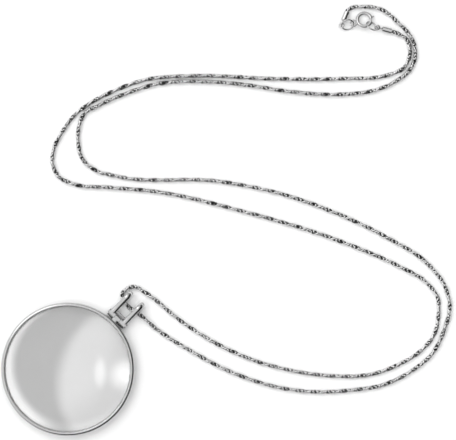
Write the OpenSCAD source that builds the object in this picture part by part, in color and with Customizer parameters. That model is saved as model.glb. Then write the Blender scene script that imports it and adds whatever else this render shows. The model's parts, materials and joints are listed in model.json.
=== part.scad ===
// A round magnifier pendant on a long rope chain, laid flat. Millimetres, +Z up.
// The floor is z = 0, and the origin is under the middle of the whole outline.

/* [Rim] */
// Outside radius of the rim
rim_r = 23.3; // [21:0.1:25]
// Height of the rim
rim_h = 4.4; // [4:0.1:5]
// Thickness of the band round the glass's edge
rim_wall = 0.7; // [0.5:0.05:1.2]
// How far each lip reaches in from the band, over the glass
lip_reach = 0.65; // [0.4:0.05:1]
// Thickness of each lip
lip_t = 0.8; // [0.6:0.05:1]
// Radius of the rim's outer edges
rim_round = 0.9; // [0.2:0.05:1]
// Bevel on each lip's inner edge
lip_bevel = 0.35; // [0.1:0.05:0.5]

/* [Glass] */
// How far the front of the glass bulges
dome_rise = 3.6; // [2:0.1:4.5]
// Clearance between the glass and the rim
seat_gap = 0.05; // [0.02:0.01:0.1]

/* [Hinge] */
// Radius of the hinge pin
pin_r = 0.45; // [0.3:0.05:0.55]
// Clearance between the pin and each bore
pin_gap = 0.05; // [0.02:0.01:0.08]
// Radius of the pin's heads
pin_head_r = 0.75; // [0.65:0.05:1]
// Thickness of the pin's heads
pin_head_t = 0.35; // [0.2:0.05:0.6]
// Width of the lug on the rim
lug_w = 2.4; // [1.6:0.1:3]
// Radius of the lug's barrel
lug_r = 1.05; // [0.9:0.05:1.2]
// Height of the lug where it leaves the rim
lug_root_h = 3; // [2.2:0.1:3.6]

/* [Bail] */
// Radius of the knuckles
knuckle_r = 1.5; // [1.3:0.05:1.7]
// Width of each knuckle
knuckle_w = 2.45; // [2:0.05:3]
// Clearance between a knuckle and the lug or the rim
knuckle_gap = 0.1; // [0.05:0.01:0.2]
// Width of a hoop's band
band_w = 1.85; // [1.2:0.05:2]
// Thickness of the band at its middle
band_t = 0.85; // [0.6:0.05:0.95]
// Thickness of the band at its two edges
band_edge_t = 0.4; // [0.2:0.05:0.55]
// Outside radius of a hoop's far end
hoop_r = 2.7; // [2.5:0.05:3]
// Distance from the pin's axis to the middle of the hoop's far end
hoop_reach = 7.45; // [7:0.05:9]
// Radius of the rod that joins the hoops
rod_r = 0.35; // [0.25:0.05:0.5]
// Clearance between the rod and the lug
rod_gap = 0.15; // [0.1:0.01:0.3]

/* [Chain] */
// Radius of the rope chain
chain_r = 0.8; // [0.6:0.01:0.82]
// Clearance between the chain and the hoops that it passes through
sill_gap = 0.1; // [0.05:0.01:0.3]
// Radius of the chain's ends, drawn together in the caps
tip_r = 0.7; // [0.5:0.05:0.75]
// How far the chain's ends enter the caps
tip_in = 2.4; // [1.5:0.1:2.6]

/* [End caps] */
// Outside radius of an end cap
cap_r = 1; // [0.9:0.05:1.1]
// Length of a cap's tube
cap_l = 3.6; // [3.2:0.1:4]
// Clearance between a cap's bore and the chain's end
tip_gap = 0.05; // [0.03:0.01:0.1]
// Thickness of a cap's closed end
cap_wall = 1; // [0.8:0.05:1.2]
// Mean radius of a cap's eye
cap_eye_r = 0.8; // [0.75:0.01:0.9]
// Distance from the middle of the eye to the cap's tube
cap_neck = 1.55; // [1.5:0.05:2]
// Radius of the wire of every eye
eye_wire_r = 0.25; // [0.2:0.01:0.27]

/* [Jump rings] */
// Mean radius of a jump ring
jump_r = 2.15; // [2.1:0.01:2.3]
// Radius of a jump ring's wire
jump_wire_r = 0.25; // [0.2:0.01:0.27]

/* [Clasp] */
// Mean radius of the clasp's ring
clasp_r = 2.4; // [2.3:0.05:2.7]
// Outside radius of the clasp's tube
clasp_tube_r = 0.6; // [0.55:0.01:0.62]
// Radius of the clasp's bore
clasp_bore_r = 0.42; // [0.36:0.01:0.48]
// Clearance between the bolt and the clasp's bore
bolt_gap = 0.06; // [0.03:0.01:0.1]
// Mean radius of the clasp's eye
clasp_eye_r = 1.05; // [1:0.01:1.2]
// Radius of the bolt's thumb knob
knob_r = 0.32; // [0.3:0.02:0.4]
// Radius of the post between the bolt and its knob
post_r = 0.2; // [0.15:0.01:0.25]

/* [Hidden] */
$fn = 64;

// An overshoot that lets cuts and joined shapes run past each other
over = 0.1;
silver = [0.82, 0.83, 0.84];
bright = [0.93, 0.93, 0.94];
glass = [0.75, 0.85, 0.9, 0.5];

// The rim and its glass
groove_r = rim_r - rim_wall;
lip_r = groove_r - lip_reach;
lens_r = groove_r - seat_gap;
dome_r = (lens_r * lens_r + dome_rise * dome_rise) / (2 * dome_rise);
function dome_drop(r) = dome_r - sqrt(dome_r * dome_r - r * r);
lens_z = lip_t + seat_gap;
lens_edge_z = rim_h - lip_t - seat_gap - (dome_drop(lens_r) - dome_drop(lip_r));
lens_top_z = lens_edge_z + dome_rise;

// The hinge. Its pin stays where it is when a size changes.
pin_at = [-38.1, -34.2];
pendant_turn = 45.6;
pin_z = rim_h / 2;
bore_r = pin_r + pin_gap;
pin_u = rim_r + knuckle_gap + knuckle_r;
lug_root_u = rim_r - rim_wall / 2;

// The bail, whose far end rests on the floor
knuckle_in = lug_w / 2 + knuckle_gap;
knuckle_out = knuckle_in + knuckle_w;
hoop_v = knuckle_out - band_w / 2;
hoop_lean = asin((hoop_r - knuckle_r) / hoop_reach);
// The arms are this much thinner all round than the far end, and run into it
arm_inset = 0.02;
arm_lap = 0.3;
bail_lift = asin((hoop_r - pin_z) / hoop_reach);
band_dome = band_t - band_edge_t;
band_dome_r = (band_w * band_w / 4 + band_dome * band_dome) / (2 * band_dome);
rod_u = lug_r + rod_gap + rod_r;
pin_half = knuckle_out + pin_gap;

// The lift of the chain where it lies on the hoops' lower arms
chain_u = 5.5;
arm_rise = (hoop_reach - chain_u) * tan(hoop_lean - bail_lift);
chain_lift = band_t + arm_rise + sill_gap;
chain_sides = 8;

// The chain's route, [x, y, share of the lift], in two halves that meet between
// the hoops and end at the two caps
route_outer = [
    [-34, -30.5, 1], [-31, -32.5, 1], [-24, -38.5, 0], [-13, -45.5, 0], [2.5, -53.5, 0],
    [16, -58, 0], [30, -60, 0], [43, -59.5, 0], [55, -57.5, 0], [65, -52.5, 0],
    [72, -46.5, 0], [76, -38.5, 0], [78, -30, 0], [76, -22.5, 0], [70.5, -15.5, 0],
    [55, -5.5, 0], [37, 3, 0], [18, 9.5, 0], [-2, 13.5, 0], [-39, 15.5, 0],
    [-46, 17.5, 0], [-50.5, 21.5, 0], [-52, 27.5, 0], [-51.5, 33.5, 0], [-50, 37, 0],
    [-45, 40, 0], [-36, 44, 0], [-25, 47.5, 0], [-10, 48.5, 0], [5, 47.5, 0],
    [22, 45, 0], [40, 44, 0], [52, 45.5, 0], [59, 48.5, 0], [64, 52.5, 0],
    [66, 58, 0], [64.5, 64, 0], [60, 69, 0], [54, 73.75, 0], [47, 74.7, 0], [44.3, 74.5, 0]];
route_inner = [
    [-34, -30.5, 1], [-36, -28, 1], [-36.5, -25.5, 0.8], [-34.5, -23.7, 0.4], [-32, -23.3, 0.1],
    [-29, -25, 0], [-15, -36, 0], [-2, -44, 0], [11, -49.5, 0], [25, -53, 0],
    [38, -54.5, 0], [50, -54, 0], [60, -50.5, 0], [68, -45.5, 0], [72.5, -40, 0],
    [74, -33.5, 0], [73.5, -26.5, 0], [70, -22, 0], [60, -16, 0], [44, -9, 0],
    [6, 3, 0], [-25, 10, 0], [-42, 11.5, 0], [-53, 12.5, 0], [-59, 15.5, 0],
    [-61, 20, 0], [-60.5, 25, 0], [-57.5, 31, 0], [-53, 37, 0], [-48.5, 40.5, 0],
    [-40, 45, 0], [-29, 49, 0], [-11, 50.5, 0], [16, 49.5, 0], [40, 49.5, 0],
    [57, 51, 0], [61.5, 53, 0], [64, 58, 0], [63, 63, 0]];

// How far before a cap's mouth the chain turns into line with the cap
tip_out = 0.6;

// The clasp and its links, laid out from the right cap's eye. Angles are in
// degrees: a heading is seen from above, a roll is about the link line.
right_eye_at = [52.6, 67.4];
cap_clear = 0.03;
eye_lift = 0.13;
link_heading = -40;
link_rise = 11;
link_gap = 0.18;
clasp_roll = -10.5;
right_roll = -56;
right_turn = 45;
clasp_eye_turn = 240;
left_heading = link_heading + clasp_eye_turn - 7;
left_roll = -41;
left_turn = -9;
cap_left_heading = 68;
cap_left_roll = 160;
cap_right_heading = -15;
cap_right_roll = 20;

// The eye sinks into the clasp's tube as soldered wire does
solder = 0.1;
clasp_eye_u = clasp_r + clasp_tube_r + clasp_eye_r - solder;

// Places round the clasp's ring, as angles from the link line
gap_from = 18;
gap_to = 54;
bolt_from = 14;
bolt_to = 150;
bore_from = 8;
bore_to = 205;
knob_turn = 62;
slot_from = 57;
slot_to = 107;
slot_half = post_r + bolt_gap;
bolt_r = clasp_bore_r - bolt_gap;
knob_u = clasp_r + clasp_tube_r + bolt_gap + knob_r;

cap_bore_r = tip_r + tip_gap;
cap_end = cap_neck + cap_l;
stem_r = 0.3;
shoulder_r = 0.55;
shoulder_l = 0.45;

function turn_x(a) = [[1, 0, 0], [0, cos(a), -sin(a)], [0, sin(a), cos(a)]];
function turn_y(a) = [[cos(a), 0, sin(a)], [0, 1, 0], [-sin(a), 0, cos(a)]];
function turn_z(a) = [[cos(a), -sin(a), 0], [sin(a), cos(a), 0], [0, 0, 1]];
function on_ring(frame, radius, angle) = frame * [radius * cos(angle), radius * sin(angle), 0];
function unit(v) = v / norm(v);

// Where the links lie, from the right cap's eye to the left cap's
link_frame = turn_z(link_heading) * turn_y(-link_rise);
clasp_frame = link_frame * turn_x(clasp_roll);
right_frame = link_frame * turn_x(right_roll);
left_frame = turn_z(left_heading) * turn_x(left_roll);
right_eye = [right_eye_at.x, right_eye_at.y, cap_r + eye_lift];
right_ring_at = right_eye - on_ring(right_frame, jump_r, right_turn);
link_step = clasp_r + jump_r - clasp_tube_r - jump_wire_r - link_gap;
clasp_at = right_ring_at - on_ring(link_frame, link_step, 0);
clasp_eye_at = clasp_at + on_ring(clasp_frame, clasp_eye_u, clasp_eye_turn);
left_ring_at = clasp_eye_at + on_ring(left_frame, jump_r, 0);
left_eye = left_ring_at + on_ring(left_frame, jump_r, left_turn);

// A cap slopes down from its eye until its tube's end lies just over the floor
function cap_droop(eye) = asin((eye.z - cap_r - cap_clear) / cap_end);
function on_cap(eye, heading, u) =
    eye + turn_z(heading) * turn_y(cap_droop(eye)) * [u, 0, 0];

// The last two places of a chain half: before its cap's mouth and inside it
function chain_end(eye, heading) =
    [on_cap(eye, heading, cap_end + tip_out), on_cap(eye, heading, cap_end - tip_in)];
function on_floor(route) = [for (p = route) [p.x, p.y, chain_r + chain_lift * p.z]];
path_outer = concat(on_floor(route_outer), chain_end(left_eye, cap_left_heading));
path_inner = concat(on_floor(route_inner), chain_end(right_eye, cap_right_heading));

// The direction at point i of a path, halfway between its two neighbours'
function heading(path, i, before) =
    let (here = path[i], back = i == 0 ? before : path[i - 1],
        next = i == len(path) - 1 ? here + unit(here - back) : path[i + 1])
    unit(unit(here - back) + unit(next - here));

// The corners of one ring of the chain, the lowest straight under its middle
function ring_points(middle, dir, r) =
    let (side = unit(cross(dir, [0, 0, 1])), up = cross(side, dir))
    [for (k = [0:chain_sides - 1])
        middle + r * cos(360 * k / chain_sides) * side + r * sin(360 * k / chain_sides) * up];

module at_pin() {
    translate([pin_at.x, pin_at.y, pin_z]) rotate([0, 0, pendant_turn]) children();
}

module at_pendant() {
    at_pin() translate([-pin_u, 0, -pin_z]) children();
}

// The bail's own frame: from the pin, +X towards its far end
module at_bail() {
    at_pin() rotate([0, -bail_lift, 0]) children();
}

module crosswise(r, from, to) {
    translate([0, from, 0]) rotate([-90, 0, 0]) cylinder(r = r, h = to - from);
}

module lengthwise(r, from, to, r_to = -1) {
    translate([from, 0, 0]) rotate([0, 90, 0]) cylinder(r1 = r, r2 = r_to < 0 ? r : r_to, h = to - from);
}

module ring_of_wire(ring_r, wire_r) {
    rotate_extrude() translate([ring_r, 0]) circle(r = wire_r, $fn = 24);
}

// Part of a ring round Z, between two angles
module arc_of(from, to) {
    rotate([0, 0, from]) rotate_extrude(angle = to - from) children();
}

// A block with rounded outer edges, cut off at the lips' inner edge
module rim_section() {
    block_r = lip_r - 2 * rim_round;
    difference() {
        union() {
            translate([block_r, 0]) square([rim_r - rim_round - block_r, rim_h]);
            translate([block_r, rim_round]) square([rim_r - block_r, rim_h - 2 * rim_round]);
            for (z = [rim_round, rim_h - rim_round])
                translate([rim_r - rim_round, z]) circle(r = rim_round, $fn = 32);
        }
        translate([block_r - over, -over]) square([lip_r - block_r + over, rim_h + 2 * over]);
        translate([lip_r - over, lip_t]) square([groove_r - lip_r + over, rim_h - 2 * lip_t]);
        polygon([[lip_r - over, -over], [lip_r + lip_bevel + over, -over],
            [lip_r - over, lip_bevel + over]]);
        polygon([[lip_r - over, rim_h + over], [lip_r - over, rim_h - lip_bevel - over],
            [lip_r + lip_bevel + over, rim_h + over]]);
    }
}

module rim() {
    color(silver) difference() {
        union() {
            at_pendant() rotate_extrude($fn = 180) rim_section();
            at_pin() {
                crosswise(lug_r, -lug_w / 2, lug_w / 2);
                rotate([90, 0, 0]) linear_extrude(lug_w, center = true)
                    polygon([[lug_root_u - pin_u, -lug_root_h / 2], [0, -lug_r], [0, lug_r],
                        [lug_root_u - pin_u, lug_root_h / 2]]);
            }
        }
        at_pin() crosswise(bore_r, -lug_w / 2 - over, lug_w / 2 + over);
    }
}

module lens() {
    color(glass) at_pendant() rotate_extrude($fn = 180) intersection() {
        translate([0, lens_z]) square([lens_r, lens_top_z - lens_z + over]);
        translate([0, lens_top_z - dome_r]) circle(r = dome_r, $fn = 720);
    }
}

// The band's section, its outer face towards +X at x = 0, domed across Y
module band_section(inset = 0) {
    intersection() {
        translate([inset - band_t, inset - band_w / 2])
            square([band_t - inset, band_w - 2 * inset]);
        translate([-band_dome_r, 0]) circle(r = band_dome_r - inset);
    }
}

module hoop() {
    translate([hoop_reach, 0, 0]) rotate([-90, 0, 0])
        arc_of(-90 - hoop_lean, 90 + hoop_lean) translate([hoop_r, 0]) band_section();
    for (side = [0, 1]) mirror([0, 0, side])
        rotate([0, -hoop_lean, 0]) translate([0, 0, knuckle_r]) rotate([0, 90, 0])
            mirror([1, 0, 0]) linear_extrude(hoop_reach * cos(hoop_lean) + arm_lap)
                band_section(arm_inset);
}

module bail() {
    color(bright) at_bail() difference() {
        union() {
            for (side = [0, 1]) mirror([0, side, 0]) {
                translate([0, hoop_v, 0]) hoop();
                crosswise(knuckle_r, knuckle_in, knuckle_out);
            }
            translate([rod_u, 0, 0]) crosswise(rod_r, -hoop_v, hoop_v);
        }
        crosswise(bore_r, -knuckle_out - over, knuckle_out + over);
    }
}

module hinge_pin() {
    color(bright) at_pin() {
        crosswise(pin_r, -pin_half - over, pin_half + over);
        for (side = [0, 1]) mirror([0, side, 0])
            crosswise(pin_head_r, pin_half, pin_half + pin_head_t);
    }
}

// The chain's solid between the two ends of its path, thinner in its cap
module strand(path, before) {
    last = len(path) - 1;
    corners = [for (i = [0:last])
        each ring_points(path[i], heading(path, i, before), i < last - 1 ? chain_r : tip_r)];
    walls = [for (i = [0:last - 1], k = [0:chain_sides - 1])
        let (a = i * chain_sides, j = (k + 1) % chain_sides)
        [a + k, a + j, a + chain_sides + j, a + chain_sides + k]];
    start = [for (k = [chain_sides - 1:-1:0]) k];
    finish = [for (k = [0:chain_sides - 1]) last * chain_sides + k];
    polyhedron(points = corners, faces = concat([start], walls, [finish]), convexity = 10);
}

module chain_outer() {
    color(silver) strand(path_outer, path_inner[1]);
}

module chain_inner() {
    color(silver) strand(path_inner, path_outer[1]);
}

module end_cap(eye, heading, roll) {
    color(bright) translate(eye) rotate([0, cap_droop(eye), heading]) difference() {
        union() {
            rotate([roll, 0, 0]) ring_of_wire(cap_eye_r, eye_wire_r);
            lengthwise(stem_r, cap_eye_r + eye_wire_r - solder, cap_neck + over);
            lengthwise(shoulder_r, cap_neck, cap_neck + shoulder_l, cap_r);
            lengthwise(cap_r, cap_neck + shoulder_l, cap_end);
        }
        lengthwise(cap_bore_r, cap_neck + cap_wall, cap_end + over);
    }
}

module end_cap_left() {
    end_cap(left_eye, cap_left_heading, cap_left_roll);
}

module end_cap_right() {
    end_cap(right_eye, cap_right_heading, cap_right_roll);
}

module jump_ring_left() {
    color(bright) translate(left_ring_at) rotate([left_roll, 0, left_heading])
        ring_of_wire(jump_r, jump_wire_r);
}

// Turned to the link line, then rolled about it
module on_link_line(at, roll) {
    translate(at) rotate([0, -link_rise, link_heading]) rotate([roll, 0, 0]) children();
}

module jump_ring_right() {
    color(bright) on_link_line(right_ring_at, right_roll) ring_of_wire(jump_r, jump_wire_r);
}

module clasp_ring() {
    color(bright) on_link_line(clasp_at, clasp_roll) difference() {
        union() {
            arc_of(gap_to, gap_from + 360) translate([clasp_r, 0]) circle(r = clasp_tube_r, $fn = 48);
            rotate([0, 0, clasp_eye_turn]) translate([clasp_eye_u, 0, 0])
                ring_of_wire(clasp_eye_r, eye_wire_r);
        }
        arc_of(bore_from, bore_to) translate([clasp_r, 0]) circle(r = clasp_bore_r, $fn = 48);
        arc_of(slot_from, slot_to) translate([clasp_r, -slot_half])
            square([clasp_tube_r + over, 2 * slot_half]);
    }
}

module clasp_bolt() {
    color(bright) on_link_line(clasp_at, clasp_roll) {
        arc_of(bolt_from, bolt_to) translate([clasp_r, 0]) circle(r = bolt_r, $fn = 48);
        rotate([0, 0, knob_turn]) {
            lengthwise(post_r, clasp_r, knob_u);
            translate([knob_u, 0, 0]) sphere(r = knob_r);
        }
    }
}

rim();
lens();
bail();
hinge_pin();
chain_outer();
chain_inner();
end_cap_left();
end_cap_right();
jump_ring_left();
jump_ring_right();
clasp_ring();
clasp_bolt();
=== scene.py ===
"""Looks of a round magnifier pendant on a long rope chain, laid flat on a pale floor."""

import json

import bpy
import numpy as np
from bpy.props import FloatProperty, FloatVectorProperty, IntProperty, PointerProperty
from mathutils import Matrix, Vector

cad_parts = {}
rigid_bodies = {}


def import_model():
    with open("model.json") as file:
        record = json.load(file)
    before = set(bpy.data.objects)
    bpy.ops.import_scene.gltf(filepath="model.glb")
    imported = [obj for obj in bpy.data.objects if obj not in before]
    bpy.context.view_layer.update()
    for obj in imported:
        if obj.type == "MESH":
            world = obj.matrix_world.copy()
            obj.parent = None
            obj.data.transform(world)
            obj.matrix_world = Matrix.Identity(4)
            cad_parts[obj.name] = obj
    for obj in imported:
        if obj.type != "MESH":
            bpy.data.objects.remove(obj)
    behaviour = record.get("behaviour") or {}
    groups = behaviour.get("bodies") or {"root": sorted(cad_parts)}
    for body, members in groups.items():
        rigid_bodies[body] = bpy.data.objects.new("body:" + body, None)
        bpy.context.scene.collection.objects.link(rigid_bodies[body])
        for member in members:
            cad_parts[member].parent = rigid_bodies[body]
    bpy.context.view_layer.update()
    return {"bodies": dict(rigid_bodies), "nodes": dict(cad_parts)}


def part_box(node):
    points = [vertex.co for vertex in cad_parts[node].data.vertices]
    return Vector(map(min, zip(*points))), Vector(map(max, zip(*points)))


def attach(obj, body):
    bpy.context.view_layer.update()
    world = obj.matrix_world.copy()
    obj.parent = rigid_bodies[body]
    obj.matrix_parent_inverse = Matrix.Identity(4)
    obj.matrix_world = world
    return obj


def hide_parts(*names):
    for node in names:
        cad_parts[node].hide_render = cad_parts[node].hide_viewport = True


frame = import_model()

bl_info = {
    "name": "Magnifier Pendant",
    "version": (1, 0, 0),
    "blender": (4, 5, 0),
    "location": "View3D > Sidebar > Pendant",
    "description": "Builds the rope chain, the metal, the glass and the studio of the pendant",
    "category": "Object",
}

MM = 0.001

# The CAD nodes that keep their shape, and the grid on which two corners are one, in metres
FITTINGS = (
    "bail", "hinge_pin", "end_cap_left", "end_cap_right", "jump_ring_left", "jump_ring_right",
    "clasp_ring", "clasp_bolt",
)
MERGE = 1e-7
UP = np.array([0.0, 0.0, 1.0])

# The rope chain, in millimetres. Its links stay within LINK_LIMIT of its middle. The
# route's points are [x, y, share of the lift] and the two halves meet between the hoops.
CHAIN_RADIUS = 0.8
LINK_LIMIT = 0.795
ROUTE_OUTER = [
    [-34, -30.5, 1], [-31, -32.5, 1], [-24, -38.5, 0], [-13, -45.5, 0], [2.5, -53.5, 0],
    [16, -58, 0], [30, -60, 0], [43, -59.5, 0], [55, -57.5, 0], [65, -52.5, 0],
    [72, -46.5, 0], [76, -38.5, 0], [78, -30, 0], [76, -22.5, 0], [70.5, -15.5, 0],
    [55, -5.5, 0], [37, 3, 0], [18, 9.5, 0], [-2, 13.5, 0], [-39, 15.5, 0],
    [-46, 17.5, 0], [-50.5, 21.5, 0], [-52, 27.5, 0], [-51.5, 33.5, 0], [-50, 37, 0],
    [-45, 40, 0], [-36, 44, 0], [-25, 47.5, 0], [-10, 48.5, 0], [5, 47.5, 0],
    [22, 45, 0], [40, 44, 0], [52, 45.5, 0], [59, 48.5, 0], [64, 52.5, 0],
    [66, 58, 0], [64.5, 64, 0], [60, 69, 0], [54, 73.75, 0], [47, 74.7, 0], [44.3, 74.5, 0]]
ROUTE_INNER = [
    [-34, -30.5, 1], [-36, -28, 1], [-36.5, -25.5, 0.8], [-34.5, -23.7, 0.4], [-32, -23.3, 0.1],
    [-29, -25, 0], [-15, -36, 0], [-2, -44, 0], [11, -49.5, 0], [25, -53, 0],
    [38, -54.5, 0], [50, -54, 0], [60, -50.5, 0], [68, -45.5, 0], [72.5, -40, 0],
    [74, -33.5, 0], [73.5, -26.5, 0], [70, -22, 0], [60, -16, 0], [44, -9, 0],
    [6, 3, 0], [-25, 10, 0], [-42, 11.5, 0], [-53, 12.5, 0], [-59, 15.5, 0],
    [-61, 20, 0], [-60.5, 25, 0], [-57.5, 31, 0], [-53, 37, 0], [-48.5, 40.5, 0],
    [-40, 45, 0], [-29, 49, 0], [-11, 50.5, 0], [16, 49.5, 0], [40, 49.5, 0],
    [57, 51, 0], [61.5, 53, 0], [64, 58, 0], [63, 63, 0]]

# The share of its width that the rope keeps at its end, and the length over which it narrows
END_TAPER = 0.86
TAPER_LENGTH = 3.0

# The end caps, in millimetres and degrees: the tube's radius and its height over the floor,
# the way from the eye's middle to the tube and the tube's length, and how far the rope
# starts to line up before the mouth and ends inside it
CAP_R, CAP_CLEAR = 1.0, 0.03
CAP_NECK, CAP_L = 1.55, 3.6
CAP_END = CAP_NECK + CAP_L
TIP_OUT, TIP_IN = 0.6, 2.4
LEFT_CAP_HEADING, RIGHT_CAP_HEADING = 68, -15

# The clasp's links, in millimetres, from the right cap's eye on. Angles are in degrees: a
# heading is seen from above, a roll is about the line of links and a turn is round a ring.
EYE_LIFT = 0.13
RIGHT_EYE = np.array([52.6, 67.4, CAP_R + EYE_LIFT])
LINK_HEADING, LINK_RISE, LINK_GAP = -40, 11, 0.18
RIGHT_ROLL, RIGHT_TURN = -56, 45
CLASP_ROLL, CLASP_EYE_TURN = -10.5, 240
LEFT_SWING, LEFT_ROLL, LEFT_TURN = -7, -41, -9
LEFT_HEADING = LINK_HEADING + CLASP_EYE_TURN + LEFT_SWING
JUMP_R, JUMP_WIRE_R = 2.15, 0.25
CLASP_R, CLASP_TUBE_R, CLASP_EYE_R, SOLDER = 2.4, 0.6, 1.05, 0.1

# Corners round a link, round its wire and round the core
LINK_AROUND = 14
LINK_SIDES = 6
CORE_SIDES = 8

# Samples of the route between two of its points, and from one ring of the core to the next
CUBIC_SAMPLES = 40
CORE_EVERY = 8

# How far the links differ: round the rope and in their lean, in radians, and in breadth.
# Each link's brightness is a random factor in a range, a painted glint that stands in for cut
# facets catching the light.
LINK_SEED = 7
TURN_UNREST, TIP_UNREST, BREADTH_UNREST = 0.22, 0.2, 0.08
GLINT_SEED = 3
DIMMEST_GLINT, BRIGHTEST_GLINT = 0.55, 1.6

# The rim, in millimetres: its outside, its wall, and the lips that hold the glass
RIM_R, RIM_H, RIM_ROUND, RIM_WALL = 23.3, 4.4, 0.9, 0.7
LIP_REACH, LIP_T, LIP_ROUND = 0.65, 0.8, 0.35
GROOVE_R = RIM_R - RIM_WALL
LIP_R = GROOVE_R - LIP_REACH

# The hinge, in millimetres and degrees. The lug's root ends halfway through the rim's wall.
PIN_AT = [-38.1, -34.2, RIM_H / 2]
PENDANT_TURN = 45.6
KNUCKLE_R, KNUCKLE_GAP = 1.5, 0.1
PIN_TO_MIDDLE = RIM_R + KNUCKLE_GAP + KNUCKLE_R
LUG_W, LUG_R, LUG_BORE_R, LUG_BEVEL = 2.4, 1.05, 0.5, 0.08
LUG_ROOT = KNUCKLE_GAP + KNUCKLE_R + RIM_WALL / 2
LUG_ROOT_H = 1.5

# The lens: how far its front bulges, in millimetres, its rings in front, and those on its
# back as shares of its radius
DOME_RISE = 3.6
DOME_RINGS = 60
BACK_RINGS = (0.99, 0.6, 0.2)

# Corners all round a turned piece and on its quarter circles, the angle past which an
# edge is sharp, in radians, and the least size of a divisor
LATHE_SIDES = 240
ROUND_CORNERS = 13
SHARP = 0.6
TINY = 1e-6

# The metal's noises, in cycles per metre
MIST_SCALE, MARKS_SCALE, HAIRLINE_SCALE = 900.0, 6000.0, 9000.0

# The floor and the view, in millimetres, and the lights in metres
FLOOR_DROP, VIEW_WIDTH, VIEW_MIDDLE = 0.02, 159.6, (0.42, 0.1)
FLOOR_HALF = 6.0
KEY_PLACE, KEY_SIZE = (-0.8, 0.9, 1.5), 1.1
FILL_PLACE, FILL_SIZE = (0, 0, 2.3), 4.0
LENS_MIDDLE, WINDOW_HEIGHT, WINDOW_SIZE = (-0.055, -0.052, 0.0), 1.0, 2.4

# The painted sky: the way to its dark side, its tones as (pale side, dark side), and the
# heights between which one fades into the next
DARK_WAY, DARK_FADE = (0.85, -0.5), (-0.15, 0.5)
WALL_TONES, HORIZON_TONES, OVERHEAD_TONE = (0.3, 0.02), (0.6, 0.05), 0.9
OVERHEAD_TILT, OVERHEAD_FADE, HORIZON_FADE = 0.8, (0.55, 0.85), (0.1, 0.28)

# The painted window, in metres from about over the lens's middle: each shape's place and fade,
# and its tone. A highlight is its middle, then half its width and half its height.
DISC_AT, DISC_FADE = (0.93, -0.26), (0.98, 1.16)
BORDER_FADE, BORDER_TONE = (0.61, 0.8), 2.2
BORDER_RIGHT, LEFT_FADE = 0.35, (-0.55, -0.1)
STREAK, STREAK_TONE = (0.3, -0.082, 0.1, 0.23), 1.1
PATCH, PATCH_TONE = (0.62, -0.112, 0.3, 0.25), 1.8


class Signal:
    """A number that a shader node gives, used with Python's own operators."""

    def __init__(self, finish, socket):
        self.finish = finish
        self.socket = socket

    def __add__(self, other):
        return self.finish.maths("ADD", self, other)

    def __radd__(self, other):
        return self.finish.maths("ADD", other, self)

    def __sub__(self, other):
        return self.finish.maths("SUBTRACT", self, other)

    def __rsub__(self, other):
        return self.finish.maths("SUBTRACT", other, self)

    def __mul__(self, other):
        return self.finish.maths("MULTIPLY", self, other)

    def __rmul__(self, other):
        return self.finish.maths("MULTIPLY", other, self)

    def __truediv__(self, other):
        return self.finish.maths("DIVIDE", self, other)

    def __pow__(self, other):
        return self.finish.maths("POWER", self, other)


class Finish:
    """The node tree of a material, a light or the world, and the few calls that fill it."""

    def __init__(self, owner, shader, output):
        self.owner = owner
        owner.use_nodes = True
        self.tree = owner.node_tree
        self.tree.nodes.clear()
        self.shader = self.tree.nodes.new(shader)
        output = self.tree.nodes.new(output)
        self.tree.links.new(self.shader.outputs[0], output.inputs["Surface"])

    def plug(self, socket, value):
        """Links a signal to a socket, or sets a plain value on it."""
        if isinstance(value, Signal):
            self.tree.links.new(value.socket, socket)
        else:
            socket.default_value = value

    def node(self, kind, settings=None, sockets=None, output=0):
        """Any node: its settings first, then its sockets by name or index."""
        made = self.tree.nodes.new(kind)
        for name, value in (settings or {}).items():
            setattr(made, name, value)
        for key, value in (sockets or {}).items():
            self.plug(made.inputs[key], value)
        return Signal(self, made.outputs[output])

    def maths(self, operation, first, second=0.0):
        return self.node("ShaderNodeMath", {"operation": operation}, {0: first, 1: second})

    def smooth(self, value, low, high):
        """0 below low, 1 above high, and an even S between them."""
        return self.node(
            "ShaderNodeMapRange",
            {"interpolation_type": "SMOOTHSTEP"},
            {"Value": value, "From Min": low, "From Max": high},
        )

    def blend(self, share, first, second):
        """The first colour where share is 0 and the second where it is 1."""
        settings = {"data_type": "RGBA", "clamp_factor": True}
        return self.node("ShaderNodeMix", settings, {0: share, 6: first, 7: second}, output=2)

    def attribute(self, name):
        return self.node("ShaderNodeAttribute", {"attribute_name": name}, output=2)

    def place(self):
        return self.node("ShaderNodeTexCoord", output=3)

    def split(self, vector):
        """The three numbers of a vector."""
        return [self.node("ShaderNodeSeparateXYZ", None, {0: vector}, output=k) for k in range(3)]

    def mix(self, share, first, second):
        """A number: first where share is 0 and second where it is 1."""
        return self.node("ShaderNodeMix", {"clamp_factor": True}, {0: share, 2: first, 3: second})

    def noise(self, place, scale, detail=2.0):
        return self.node(
            "ShaderNodeTexNoise", None, {"Vector": place, "Scale": scale, "Detail": detail}
        )

    def finish_with(self, **sockets):
        """Sets or links the sockets of the shader, named with _ for a space."""
        for name, value in sockets.items():
            self.plug(self.shader.inputs[name.replace("_", " ")], value)
        return self.owner


def new_material(name):
    material = bpy.data.materials.new(name)
    return Finish(material, "ShaderNodeBsdfPrincipled", "ShaderNodeOutputMaterial")


def grey(tone):
    return (tone, tone, tone, 1.0)


def unit(rows):
    """Each row over its own length."""
    return rows / np.linalg.norm(rows, axis=-1, keepdims=True)


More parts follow.
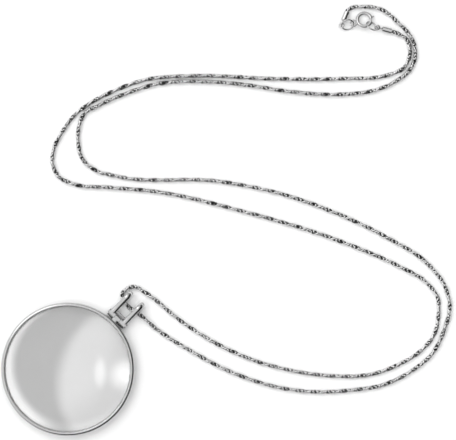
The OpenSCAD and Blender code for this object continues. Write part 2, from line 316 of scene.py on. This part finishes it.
def smooth_route(points, step):
    """A smooth line through points, sampled evenly by its own length.

    Between two points the line is a cubic whose slope at each of them is the mean of the
    two neighbouring chords' slopes, each weighed by the other chord's length. The dense
    samples of the cubics are then read off at equal steps of their running length.
    """
    chords = np.diff(points, axis=0)
    spans = np.linalg.norm(chords, axis=1)
    slopes = chords / spans[:, None]
    inner = (spans[1:, None] * slopes[:-1] + spans[:-1, None] * slopes[1:]) / (
        spans[:-1] + spans[1:]
    )[:, None]
    tangents = np.vstack([slopes[:1], inner, slopes[-1:]])
    t = np.linspace(0, 1, CUBIC_SAMPLES, endpoint=False)[None, :, None]
    a, b = points[:-1, None], points[1:, None]
    ta, tb = tangents[:-1, None] * spans[:, None, None], tangents[1:, None] * spans[:, None, None]
    line = (
        (2 * t**3 - 3 * t**2 + 1) * a
        + (t**3 - 2 * t**2 + t) * ta
        + (3 * t**2 - 2 * t**3) * b
        + (t**3 - t**2) * tb
    ).reshape(-1, 3)
    line = np.vstack([line, points[-1:]])
    run = np.concatenate([[0], np.cumsum(np.linalg.norm(np.diff(line, axis=0), axis=1))])
    even = np.arange(0, run[-1], step)
    return np.stack([np.interp(even, run, line[:, k]) for k in range(3)], axis=1), even


def route_frames(line):
    """The direction of a line at each sample, and the level and upward directions across it."""
    along = unit(np.gradient(line, axis=0))
    side = unit(np.cross(along, UP))
    return along, side, np.cross(side, along)


def grid_faces(first, rings, sides):
    """The quads of a tube of rings by sides, closed around its sides only."""
    i, j = np.meshgrid(np.arange(rings - 1), np.arange(sides), indexing="ij")
    k = (j + 1) % sides
    a = first + i * sides
    return np.stack([a + j, a + k, a + sides + k, a + sides + j], axis=-1).reshape(-1, 4)


def link_faces(count, around, sides):
    """The quads of count closed rings, each of around by sides corners."""
    i, u, v = np.meshgrid(np.arange(count), np.arange(around), np.arange(sides), indexing="ij")
    u2, v2 = (u + 1) % around, (v + 1) % sides
    base = i * around * sides
    corners = [base + u * sides + v, base + u2 * sides + v, base + u2 * sides + v2]
    return np.stack([*corners, base + u * sides + v2], axis=-1).reshape(-1, 4)


def lathe(section, middle):
    """A half section turned round an upright axis through middle, closed at both poles.

    The section's points are [distance from the axis, height]. A corner lies at that
    distance from the axis in the direction of its angle. The faces are the fan of
    triangles at the first pole, the bands from the first point to the last, and the fan at
    the last pole, in that order.
    """
    turn = np.arange(LATHE_SIDES) * 2 * np.pi / LATHE_SIDES
    out = np.stack([np.cos(turn), np.sin(turn)], axis=1)
    rings = np.empty((len(section), LATHE_SIDES, 3))
    rings[..., :2] = middle + section[:, None, :1] * out
    rings[..., 2] = section[:, None, 1]
    poles = [[*middle, section[0, 1]], [*middle, section[-1, 1]]]
    corners = np.vstack([rings.reshape(-1, 3), poles])
    bands = grid_faces(0, len(section), LATHE_SIDES)[:, ::-1]
    here = np.arange(LATHE_SIDES)
    after, last = (here + 1) % LATHE_SIDES, (len(section) - 1) * LATHE_SIDES
    first_pole, last_pole = len(corners) - 2, len(corners) - 1
    top = np.stack([np.full(LATHE_SIDES, first_pole), here, after], axis=1)
    bottom = np.stack([np.full(LATHE_SIDES, last_pole), last + after, last + here], axis=1)
    return corners, top.tolist() + bands.tolist() + bottom.tolist()


def new_piece(name, corners, faces, material, body):
    """A smooth mesh at the origin, in metres, that rides on a body."""
    mesh = bpy.data.meshes.new(name)
    mesh.from_pydata(corners, [], faces)
    mesh.shade_smooth()
    piece = bpy.data.objects.new(name, mesh)
    bpy.context.scene.collection.objects.link(piece)
    mesh.materials.append(material)
    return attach(piece, body)


def closed_turn(section, middle, x_axis, y_axis, axis):
    """A closed section turned round an axis through middle.

    The section's points are [distance from the axis, height]. A corner lies at that
    distance from the axis in the direction of its angle, and at that height along it.
    """
    turn = (np.arange(LATHE_SIDES) * 2 * np.pi / LATHE_SIDES)[:, None, None]
    out = np.cos(turn) * x_axis + np.sin(turn) * y_axis
    corners = middle + section[:, :1] * out + section[:, 1:] * axis
    return corners.reshape(-1, 3), link_faces(1, LATHE_SIDES, len(section))


def polished(metal):
    """Bright plated metal with a faint mist, fine polishing marks and a few hairlines."""
    finish = new_material("polished metal")
    place = finish.place()
    mist = finish.noise(place, MIST_SCALE, 4.0)
    marks = finish.noise(place, MARKS_SCALE)
    drawn = finish.node(
        "ShaderNodeMapping", None, {"Vector": place, "Rotation": (0, 0, 0.5), "Scale": (0.05, 1, 1)}
    )
    hairlines = finish.smooth(finish.noise(drawn, HAIRLINE_SCALE, 1.0), 0.62, 0.7)
    bump = finish.node(
        "ShaderNodeBump", None, {"Height": marks, "Strength": 0.06, "Distance": 0.00002}
    )
    return finish.finish_with(
        Base_Color=finish.blend(mist, grey(metal.bright - 0.04), grey(metal.bright + 0.04)),
        Metallic=1.0,
        Roughness=metal.polish + 0.08 * mist + 0.14 * hairlines,
        Normal=bump,
    )


def smooth_copy(node, name, material):
    """A copy of a CAD node, with its loose triangles merged and its curves shaded smooth.

    Corners that are the same once rounded to MERGE become one, and triangles that close
    up are left out.
    """
    source = frame["nodes"][node]
    spots = np.empty(len(source.data.vertices) * 3, np.float32)
    source.data.vertices.foreach_get("co", spots)
    picks = np.empty(len(source.data.loops), np.int32)
    source.data.loops.foreach_get("vertex_index", picks)
    spots = spots.reshape(-1, 3)
    _, first, same = np.unique(
        np.round(spots / MERGE), axis=0, return_index=True, return_inverse=True
    )
    faces = same.reshape(-1)[picks].reshape(-1, 3)
    whole = (np.diff(np.sort(faces, axis=1), axis=1) > 0).all(axis=1)
    body = next(key for key, empty in frame["bodies"].items() if empty == source.parent)
    piece = new_piece(name, spots[first], faces[whole].tolist(), material, body)
    piece.data.set_sharp_from_angle(angle=SHARP)
    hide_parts(node)


def on_floor(route, node):
    """Route points with the lift share turned into the height of the rope's middle.

    The full lift is what the CAD chain's top has over its own thickness.
    """
    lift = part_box(node)[1][2] / MM - 2 * CHAIN_RADIUS
    points = np.array(route, float)
    points[:, 2] = CHAIN_RADIUS + lift * points[:, 2]
    return points


def turn_about(axis, degrees):
    """The matrix that turns about x, y or z, given as 0, 1 or 2."""
    a, b = (axis + 1) % 3, (axis + 2) % 3
    cos, sin = np.cos(np.radians(degrees)), np.sin(np.radians(degrees))
    matrix = np.eye(3)
    matrix[a, a] = matrix[b, b] = cos
    matrix[a, b], matrix[b, a] = -sin, sin
    return matrix


def left_cap_eye():
    """The middle of the left cap's eye.

    From the right cap's eye the links follow one another: a jump ring, the clasp's ring
    with its eye, and the other jump ring. Each step leads outwards by a ring's radius in
    that ring's own plane, at the ring's own turn.
    """
    links = turn_about(2, LINK_HEADING) @ turn_about(1, -LINK_RISE)
    right, clasp = links @ turn_about(0, RIGHT_ROLL), links @ turn_about(0, CLASP_ROLL)
    left = turn_about(2, LEFT_HEADING) @ turn_about(0, LEFT_ROLL)

    def on_ring(plane, radius, degrees):
        angle = np.radians(degrees)
        return plane @ [radius * np.cos(angle), radius * np.sin(angle), 0]

    step = CLASP_R + JUMP_R - CLASP_TUBE_R - JUMP_WIRE_R - LINK_GAP
    reach = CLASP_R + CLASP_TUBE_R + CLASP_EYE_R - SOLDER
    middle = RIGHT_EYE - on_ring(right, JUMP_R, RIGHT_TURN) - on_ring(links, step, 0)
    eye = middle + on_ring(clasp, reach, CLASP_EYE_TURN)
    return eye + on_ring(left, JUMP_R, 0) + on_ring(left, JUMP_R, LEFT_TURN)


def chain_end(eye, heading):
    """The last two places of a chain half: before its cap's mouth and inside it.

    The cap slopes down from its eye until its mouth lies just over the floor.
    """
    droop = np.degrees(np.arcsin((eye[2] - CAP_R - CAP_CLEAR) / CAP_END))
    along = turn_about(2, heading) @ turn_about(1, droop)[:, 0]
    return [eye + (CAP_END + TIP_OUT) * along, eye + (CAP_END - TIP_IN) * along]


def rope(line, run, settings):
    """Corners, faces and how far out each corner stands, for the links of half the rope.

    A rope is two strands of slanting rings. A ring's middle lies off the rope's middle by
    strand_offset at an angle that turns once in each lay_length, half a turn apart for the
    two strands. The ring is an ellipse in the plane of the outward direction and of the
    sideways direction tipped along the rope by link_tip, each a little differently. Its
    wire is a circle round it. A corner's share is its distance from the rope's middle over
    the rope's radius. After that, what would stand past LINK_LIMIT is drawn in to it.
    """
    keep = (np.arange(len(run)) % settings.samples_per_link) == 0
    along, side, up = (x[keep] for x in route_frames(line))
    middle, run = line[keep], run[keep]
    taper = np.interp(run[-1] - run, [0, TAPER_LENGTH], [END_TAPER, 1])
    unrest = np.random.default_rng(LINK_SEED).uniform(-1, 1, (3, len(run), 1))
    turn = 2 * np.pi * run / (settings.lay_length / MM) + np.pi * (np.arange(len(run)) % 2)
    turn = turn[:, None] + TURN_UNREST * unrest[0]
    out = np.cos(turn) * side + np.sin(turn) * up
    across = np.cos(turn) * up - np.sin(turn) * side
    tip = settings.link_tip + TIP_UNREST * unrest[1]
    slant = np.cos(tip) * across + np.sin(tip) * along
    normal = np.sin(tip) * across - np.cos(tip) * along
    u = (np.arange(LINK_AROUND) * 2 * np.pi / LINK_AROUND)[:, None, None]
    v = (np.arange(LINK_SIDES) * 2 * np.pi / LINK_SIDES)[:, None]
    wire, reach = settings.link_wire / MM, settings.link_reach / MM
    breadth = (settings.link_breadth / MM * (1 + BREADTH_UNREST * unrest[2]))[..., None, None]
    local = (
        (settings.strand_offset / MM + (reach + wire * np.cos(v)) * np.cos(u))
        * out[:, None, None]
        + (breadth + wire * np.cos(v)) * np.sin(u) * slant[:, None, None]
        + wire * np.sin(v) * normal[:, None, None]
    )
    away = np.linalg.norm(
        local - (local * along[:, None, None]).sum(-1, keepdims=True) * along[:, None, None],
        axis=-1,
        keepdims=True,
    )
    local *= np.minimum(1, LINK_LIMIT / away) * taper[:, None, None, None]
    links = (middle[:, None, None] + local).reshape(-1, 3)
    share = (away / CHAIN_RADIUS).reshape(-1)
    return links, link_faces(len(middle), LINK_AROUND, LINK_SIDES), share


def rope_core(line, radius, first):
    """A plain round tube along a line: its corners, its faces with both ends, in that order. It is
    painted shade, a dark tube that fills the gaps inside the rope.
    """
    _, side, up = route_frames(line)
    a = np.arange(CORE_SIDES) * 2 * np.pi / CORE_SIDES
    ring = np.cos(a)[None, :, None] * side[:, None] + np.sin(a)[None, :, None] * up[:, None]
    corners = (line[:, None] + radius * ring).reshape(-1, 3)
    faces = grid_faces(first, len(line), CORE_SIDES)[:, ::-1].tolist()
    start = list(range(first, first + CORE_SIDES))
    end = [c + (len(line) - 1) * CORE_SIDES for c in start[::-1]]
    return corners, [*faces, start, end]


class RopeSettings(bpy.types.PropertyGroup):
    """Sizes of the rope chain's links."""

    lay_length: FloatProperty(
        name="Lay", description="Length of one full turn of the rope",
        default=0.0104, min=0.004, max=0.015, precision=5, unit="LENGTH"
    )
    link_step: FloatProperty(
        name="Link Step", description="Rope length from link to link",
        default=0.0006, min=0.0004, max=0.001, precision=5, unit="LENGTH"
    )
    samples_per_link: IntProperty(
        name="Samples", description="Samples of the route for each link", default=4, min=1, max=8
    )
    link_wire: FloatProperty(
        name="Wire", description="Radius of a link's wire",
        default=0.0003, min=0.0001, max=0.00035, precision=5, unit="LENGTH"
    )
    link_reach: FloatProperty(
        name="Reach", description="Outward radius of a link's ring",
        default=0.00045, min=0.0002, max=0.0006, precision=5, unit="LENGTH"
    )
    link_breadth: FloatProperty(
        name="Breadth", description="Sideways radius of a link's ring",
        default=0.00085, min=0.0003, max=0.001, precision=5, unit="LENGTH"
    )
    link_tip: FloatProperty(
        name="Tip", description="How far a link leans along the rope",
        default=0.95, min=0, max=1.3, subtype="ANGLE"
    )
    strand_offset: FloatProperty(
        name="Offset", description="From the rope's middle to a strand's",
        default=0.00024, min=0, max=0.0004, precision=5, unit="LENGTH"
    )
    # The core is painted shade: a dark tube that fills the gaps between the strands, where there is
    # only shade.
    core_radius: FloatProperty(
        name="Core", description="Radius of the dark core between the strands",
        default=0.0004, min=0.0002, max=0.0006, precision=5, unit="LENGTH"
    )


class MetalSettings(bpy.types.PropertyGroup):
    """Tones of the metal, as the greys of its reflection."""

    bright: FloatProperty(
        name="Bright", description="Grey of the polished metal", default=0.64, min=0, max=1
    )
    link: FloatProperty(
        name="Links", description="Grey of the rope's links", default=0.84, min=0, max=1
    )
    # Painted shade: the grey between the rope's wires and on its core, which stands for the shade
    # there.
    crevice_shade: FloatProperty(
        name="Crevice", description="Grey between the rope's links", default=0.04, min=0, max=1
    )
    polish: FloatProperty(
        name="Roughness", description="Roughness of the polished metal", default=0.1, min=0, max=1
    )


class GlassSettings(bpy.types.PropertyGroup):
    """The glass."""

    tint: FloatVectorProperty(
        name="Tint", description="Colour of the light that the glass lets through",
        default=(0.78, 0.78, 0.78), size=3, subtype="COLOR", min=0, max=1
    )
    ior: FloatProperty(
        name="IOR", description="Refractive index of crown glass", default=1.52, min=1, max=2
    )


class StageSettings(bpy.types.PropertyGroup):
    """The floor, the lights and the camera."""

    floor_tone: FloatProperty(
        name="Floor", description="Grey of the floor", default=0.9, min=0, max=1
    )
    key_light: FloatProperty(
        name="Key", description="Brightness of the large soft light", default=1.3, min=0, max=40
    )
    fill_light: FloatProperty(
        name="Fill", description="Brightness of the wide light overhead, which no metal mirrors",
        default=1.2, min=0, max=10
    )
    window_light: FloatProperty(
        name="Window", description="Brightness of the light that the lens mirrors", default=2.6,
        min=0, max=40
    )
    camera_height: FloatProperty(
        name="Camera Height", description="From the floor to the camera", default=1.2,
        min=0.5, max=3, unit="LENGTH"
    )


class PendantSettings(bpy.types.PropertyGroup):
    """Everything that a user would change."""

    rope: PointerProperty(type=RopeSettings)
    metal: PointerProperty(type=MetalSettings)
    glass: PointerProperty(type=GlassSettings)
    stage: PointerProperty(type=StageSettings)


class PENDANT_OT_rope_chain(bpy.types.Operator):
    """Build the two halves of the rope chain"""

    bl_idname = "pendant.rope_chain"
    bl_label = "Rope Chain"

    def execute(self, context):
        looks = context.scene.pendant
        settings = looks.rope
        material = self.rope_metal(looks.metal)
        halves = (
            ("rope_outer", "chain_outer", ROUTE_OUTER, left_cap_eye(), LEFT_CAP_HEADING),
            ("rope_inner", "chain_inner", ROUTE_INNER, RIGHT_EYE, RIGHT_CAP_HEADING),
        )
        for name, node, route, eye, heading in halves:
            points = np.vstack([on_floor(route, node), chain_end(eye, heading)])
            step = settings.link_step / MM / settings.samples_per_link
            line, run = smooth_route(points, step)
            line[:, 2] = np.maximum(line[:, 2], CHAIN_RADIUS)
            links, faces, share = rope(line, run, settings)
            core, core_faces = rope_core(
                line[::CORE_EVERY], settings.core_radius / MM, len(links)
            )
            corners = np.vstack([links, core]) * MM
            piece = new_piece(
                name, corners, faces.tolist() + core_faces, material, "necklace"
            )
            # Painted shade and glint: the core gets no share, so it takes the crevice grey, and
            # each link's share is scaled by its random brightness.
            painted_lit_shares = np.concatenate([share * self.glint_factors(len(share)), np.zeros(len(core))])
            layer = piece.data.attributes.new("painted_lit_share", "FLOAT", "POINT")
            layer.data.foreach_set("value", painted_lit_shares.astype(np.float32))
            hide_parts(node)
        return {"FINISHED"}

    @staticmethod
    def glint_factors(count):
        """A factor for each corner, the same all over a link: painted glints, a random brightness
        that stands in for cut facets catching the light.
        """
        link = LINK_AROUND * LINK_SIDES
        polish = np.random.default_rng(GLINT_SEED).uniform(DIMMEST_GLINT, BRIGHTEST_GLINT, count // link)
        return np.repeat(polish, link)

    @staticmethod
    def rope_metal(metal):
        """Painted shade: bright where a wire stands out, dark between the wires, where shade falls.
        """
        finish = new_material("rope metal")
        painted_lit_share = finish.smooth(finish.attribute("painted_lit_share"), 0.4, 0.85)
        colour = finish.blend(painted_lit_share, grey(metal.crevice_shade), grey(metal.link))
        return finish.finish_with(Base_Color=colour, Metallic=1.0, Roughness=0.5 - 0.38 * painted_lit_share)


class PENDANT_OT_rim(bpy.types.Operator):
    """Build the turned rim and the lug soldered on it"""

    bl_idname = "pendant.rim"
    bl_label = "Rim"

    def execute(self, context):
        turn = np.radians(PENDANT_TURN)
        u_axis = np.array([np.cos(turn), np.sin(turn), 0.0])
        v_axis = np.array([-np.sin(turn), np.cos(turn), 0.0])
        pin = np.array(PIN_AT)
        middle = (pin - PIN_TO_MIDDLE * u_axis) * [1, 1, 0]
        ring, ring_faces = closed_turn(self.section(), middle, u_axis, v_axis, UP)
        lug, lug_faces = self.lug(pin, u_axis, v_axis)
        corners = np.vstack([ring, lug]) * MM
        faces = np.vstack([ring_faces, lug_faces + len(ring)])
        material = polished(context.scene.pendant.metal)
        rim = new_piece("rim_ring", corners, faces.tolist(), material, "pendant")
        rim.data.set_sharp_from_angle(angle=SHARP)
        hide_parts("rim")
        return {"FINISHED"}

    @staticmethod
    def section():
        """The loop of [distance from the axis, height] round the rim's metal.

        The lower half runs from the groove for the glass round the lip, whose inner edge
        is a small quarter circle, and up the outer edge's larger one. The upper half is
        its mirror image.
        """
        q = np.linspace(0, np.pi / 2, ROUND_CORNERS)[:, None]
        lip = np.hstack([LIP_R + LIP_ROUND * (1 - np.cos(q)), LIP_ROUND * (1 - np.sin(q))])
        edge = np.hstack([RIM_R - RIM_ROUND * (1 - np.sin(q)), RIM_ROUND * (1 - np.cos(q))])
        low = np.vstack([[[GROOVE_R, LIP_T], [LIP_R, LIP_T]], lip, edge])
        return np.vstack([low, low[::-1] * [1, -1] + [0, RIM_H]])

    @staticmethod
    def lug(pin, u_axis, v_axis):
        """The lug: a loop round the pin, carried across the lug's width.

        In each direction round the pin the outside is the farther of the barrel's circle
        and the root's block, which widens towards the rim and ends inside it.
        """
        angle = np.arange(LATHE_SIDES) * 2 * np.pi / LATHE_SIDES
        cos, sin = np.cos(angle), np.sin(angle)
        flank = np.abs(sin) - (LUG_ROOT_H - LUG_R) / LUG_ROOT * np.maximum(-cos, 0)
        to_flank = LUG_R / np.maximum(flank, TINY)
        to_root = LUG_ROOT / np.maximum(-cos, TINY)
        block = np.where(cos < 0, np.minimum(to_flank, to_root), 0)
        outside = np.maximum(LUG_R, block)
        half, bevel = LUG_W / 2, LUG_BEVEL
        inside = np.full_like(outside, LUG_BORE_R)
        radii = [inside, inside, outside - bevel, outside, outside, outside - bevel]
        across = [half, -half, -half, bevel - half, half - bevel, half]
        radii, across = np.stack(radii, axis=1)[..., None], np.array(across)[:, None]
        out = cos[:, None] * u_axis + sin[:, None] * UP
        corners = pin + radii * out[:, None] + across * v_axis
        faces = link_faces(1, LATHE_SIDES, radii.shape[1])
        return corners.reshape(-1, 3), faces


class PENDANT_OT_polished_metal(bpy.types.Operator):
    """Smooth and finish the bail, the pin, the caps, the rings and the clasp"""

    bl_idname = "pendant.polished_metal"
    bl_label = "Polished Metal"

    def execute(self, context):
        material = polished(context.scene.pendant.metal)
        for node in FITTINGS:
            smooth_copy(node, node + "_polished", material)
        return {"FINISHED"}


class PENDANT_OT_lens(bpy.types.Operator):
    """Build the lens, domed in front and flat behind, and finish its glass"""

    bl_idname = "pendant.lens"
    bl_label = "Lens"

    def execute(self, context):
        glass = context.scene.pendant.glass
        low, high = (np.array(corner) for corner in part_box("lens"))
        middle, radius = (low + high) / 2, (high[0] - low[0]) / 2
        section, dome = self.section(radius, low[2], high[2])
        corners, faces = lathe(section, middle[:2])
        front = self.crown_glass("crown glass", glass)
        lens = new_piece("lens_glass", corners, faces, front, "pendant")
        lens.data.materials.append(self.crown_glass("coated back", glass, coated=True))
        behind = np.repeat(np.arange(len(section) + 1) >= dome, LATHE_SIDES)
        lens.data.polygons.foreach_set("material_index", behind.astype(np.int32))
        lens.data.set_sharp_from_angle(angle=SHARP)
        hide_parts("lens")
        return {"FINISHED"}

    @staticmethod
    def section(radius, back, top):
        """The half section from the middle of the dome to the middle of the back.

        The dome is an arc of the sphere that rises by DOME_RISE over the edge's radius.
        Below it come the straight edge and the flat back.
        """
        rise = DOME_RISE * MM
        sphere = (radius**2 + rise**2) / (2 * rise)
        tilt = np.linspace(0, np.arcsin(radius / sphere), DOME_RINGS + 1)[1:]
        dome = np.stack([sphere * np.sin(tilt), top - sphere * (1 - np.cos(tilt))], axis=1)
        edge = [[radius, (dome[-1, 1] + back) / 2], [radius, back]]
        behind = [[radius * share, back] for share in BACK_RINGS]
        return np.vstack([dome, edge, behind]), len(dome)

    @staticmethod
    def crown_glass(name, glass, coated=False):
        """Clear glass with a bright front. The coated back reflects nothing straight back."""
        finish = new_material(name)
        return finish.finish_with(
            Base_Color=(*glass.tint, 1.0),
            Roughness=0.0,
            IOR=glass.ior,
            Transmission_Weight=1.0,
            Specular_Tint=grey(0.0 if coated else 1.0),
            Coat_Weight=0.0 if coated else 1.0,
            Coat_IOR=1.6,
            Coat_Roughness=0.0,
        )


class PENDANT_OT_stage(bpy.types.Operator):
    """Lay the pale floor, and place the soft lights and the camera"""

    bl_idname = "pendant.stage"
    bl_label = "Studio"

    def execute(self, context):
        stage = context.scene.pendant.stage
        self.floor(stage)
        self.world(context.scene)
        lens = bpy.data.objects["lens_glass"]
        self.lamp("key", KEY_PLACE, (0, 0, 0), KEY_SIZE, stage.key_light, [lens], True)
        fill = self.lamp("fill", FILL_PLACE, (0, 0, 0), FILL_SIZE, stage.fill_light)
        fill.visible_glossy = False
        place = (*LENS_MIDDLE[:2], WINDOW_HEIGHT)
        window = self.lamp("window", place, LENS_MIDDLE, WINDOW_SIZE, 1.0, [lens])
        window.visible_diffuse = window.visible_transmission = False
        self.paint_window(window.data, stage.window_light)
        self.camera(context.scene, stage)
        context.scene.view_settings.view_transform = "Standard"
        return {"FINISHED"}

    @staticmethod
    def floor(stage):
        mesh = bpy.data.meshes.new("floor")
        signs = ((-1, -1), (1, -1), (1, 1), (-1, 1))
        corners = [(x * FLOOR_HALF, y * FLOOR_HALF, -FLOOR_DROP * MM) for x, y in signs]
        mesh.from_pydata(corners, [], [(0, 1, 2, 3)])
        floor = bpy.data.objects.new("floor", mesh)
        bpy.context.scene.collection.objects.link(floor)
        finish = new_material("pale floor")
        mesh.materials.append(
            finish.finish_with(Base_Color=grey(stage.floor_tone), Roughness=0.8)
        )

    @staticmethod
    def world(scene):
        """A soft sky: bright overhead, grey at the sides and paler at the horizon.

        All but the brightness overhead turns dark towards the lower right of the view.
        """
        world = bpy.data.worlds.new("soft sky")
        finish = Finish(world, "ShaderNodeBackground", "ShaderNodeOutputWorld")
        x, y, height = finish.split(finish.node("ShaderNodeTexCoord"))
        side = DARK_WAY[0] * x + DARK_WAY[1] * y
        dark = finish.smooth(side, *DARK_FADE)
        wall = finish.mix(dark, *WALL_TONES)
        horizon = finish.mix(dark, *HORIZON_TONES)
        overhead = finish.smooth(height - OVERHEAD_TILT * side, *OVERHEAD_FADE)
        sky = finish.mix(overhead, wall, OVERHEAD_TONE)
        tone = finish.mix(finish.smooth(height, *HORIZON_FADE), horizon, sky)
        colour = finish.blend(tone, grey(0.0), grey(1.0))
        finish.finish_with(Color=colour, Strength=1.0)
        scene.world = world

    @staticmethod
    def lamp(name, place, aim, size, radiance, pieces=(), excluded=False):
        """A square light that faces aim. It lights only the named pieces, or all but those."""
        light = bpy.data.lights.new(name, "AREA")
        light.size = size
        light.energy = radiance * np.pi * size**2
        lamp = bpy.data.objects.new(name, light)
        lamp.location = place
        lamp.rotation_mode = "QUATERNION"
        lamp.rotation_quaternion = (Vector(aim) - Vector(place)).to_track_quat("-Z", "Y")
        lamp.visible_camera = False
        bpy.context.scene.collection.objects.link(lamp)
        if pieces:
            linked = bpy.data.collections.new(name)
            for piece in pieces:
                linked.objects.link(piece)
            for member in linked.collection_objects:
                member.light_linking.link_state = "EXCLUDE" if excluded else "INCLUDE"
            lamp.light_linking.receiver_collection = linked
        return lamp

    @staticmethod
    def paint_window(light, strength):
        """Soft patches of a light that the lens mirrors.

        A disc brightens everything to the right of its edge, and a ring the lens's whole
        border, less on the right. Two small ellipses are the highlights on the right.
        """
        finish = Finish(light, "ShaderNodeEmission", "ShaderNodeOutputLight")
        u, v, _ = finish.split(finish.node("ShaderNodeNewGeometry", output=5))
        x, y = (u - 0.5) * WINDOW_SIZE, (v - 0.5) * WINDOW_SIZE

        def away(across, along, wide=1.0, tall=1.0):
            return (((x - across) / wide) ** 2.0 + ((y - along) / tall) ** 2.0) ** 0.5

        disc = 1.0 - finish.smooth(away(*DISC_AT), *DISC_FADE)
        left = 1.0 - finish.smooth(x, *LEFT_FADE)
        ring = finish.smooth(away(0.0, 0.0), *BORDER_FADE)
        border = ring * (BORDER_RIGHT + (1 - BORDER_RIGHT) * left)
        streak = 1.0 - finish.smooth(away(*STREAK), 0.0, 1.0)
        patch = 1.0 - finish.smooth(away(*PATCH), 0.0, 1.0)
        tone = disc + BORDER_TONE * border + STREAK_TONE * streak + PATCH_TONE * patch
        finish.finish_with(Strength=tone * strength)

    @staticmethod
    def camera(scene, stage):
        """Straight down, over the middle of the view."""
        data = bpy.data.cameras.new("camera")
        data.lens = data.sensor_width * stage.camera_height / (VIEW_WIDTH * MM)
        camera = bpy.data.objects.new("camera", data)
        x, y = VIEW_MIDDLE
        camera.location = (x * MM, y * MM, stage.camera_height)
        scene.collection.objects.link(camera)
        scene.camera = camera


class VIEW3D_PT_pendant(bpy.types.Panel):
    """The pendant's sizes, tones and pieces"""

    bl_label = "Magnifier Pendant"
    bl_space_type = "VIEW_3D"
    bl_region_type = "UI"
    bl_category = "Pendant"

    def draw(self, context):
        for operator, group in STEPS:
            box = self.layout.box()
            box.operator(operator)
            settings = getattr(context.scene.pendant, group)
            for name in settings.bl_rna.properties.keys():
                if name not in ("rna_type", "name"):
                    box.prop(settings, name)


# The operators in the order that main runs them, with their settings
STEPS = (
    ("pendant.rope_chain", "rope"),
    ("pendant.rim", "metal"),
    ("pendant.polished_metal", "metal"),
    ("pendant.lens", "glass"),
    ("pendant.stage", "stage"),
)
CLASSES = (
    RopeSettings,
    MetalSettings,
    GlassSettings,
    StageSettings,
    PendantSettings,
    PENDANT_OT_rope_chain,
    PENDANT_OT_rim,
    PENDANT_OT_polished_metal,
    PENDANT_OT_lens,
    PENDANT_OT_stage,
    VIEW3D_PT_pendant,
)


def register():
    for cls in CLASSES:
        bpy.utils.register_class(cls)
    bpy.types.Scene.pendant = PointerProperty(type=PendantSettings)


def unregister():
    del bpy.types.Scene.pendant
    for cls in reversed(CLASSES):
        bpy.utils.unregister_class(cls)


def main():
    """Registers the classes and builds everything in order."""
    register()
    for operator, _ in STEPS:
        group, name = operator.split(".")
        getattr(getattr(bpy.ops, group), name)()


if __name__ == "__main__":
    main()
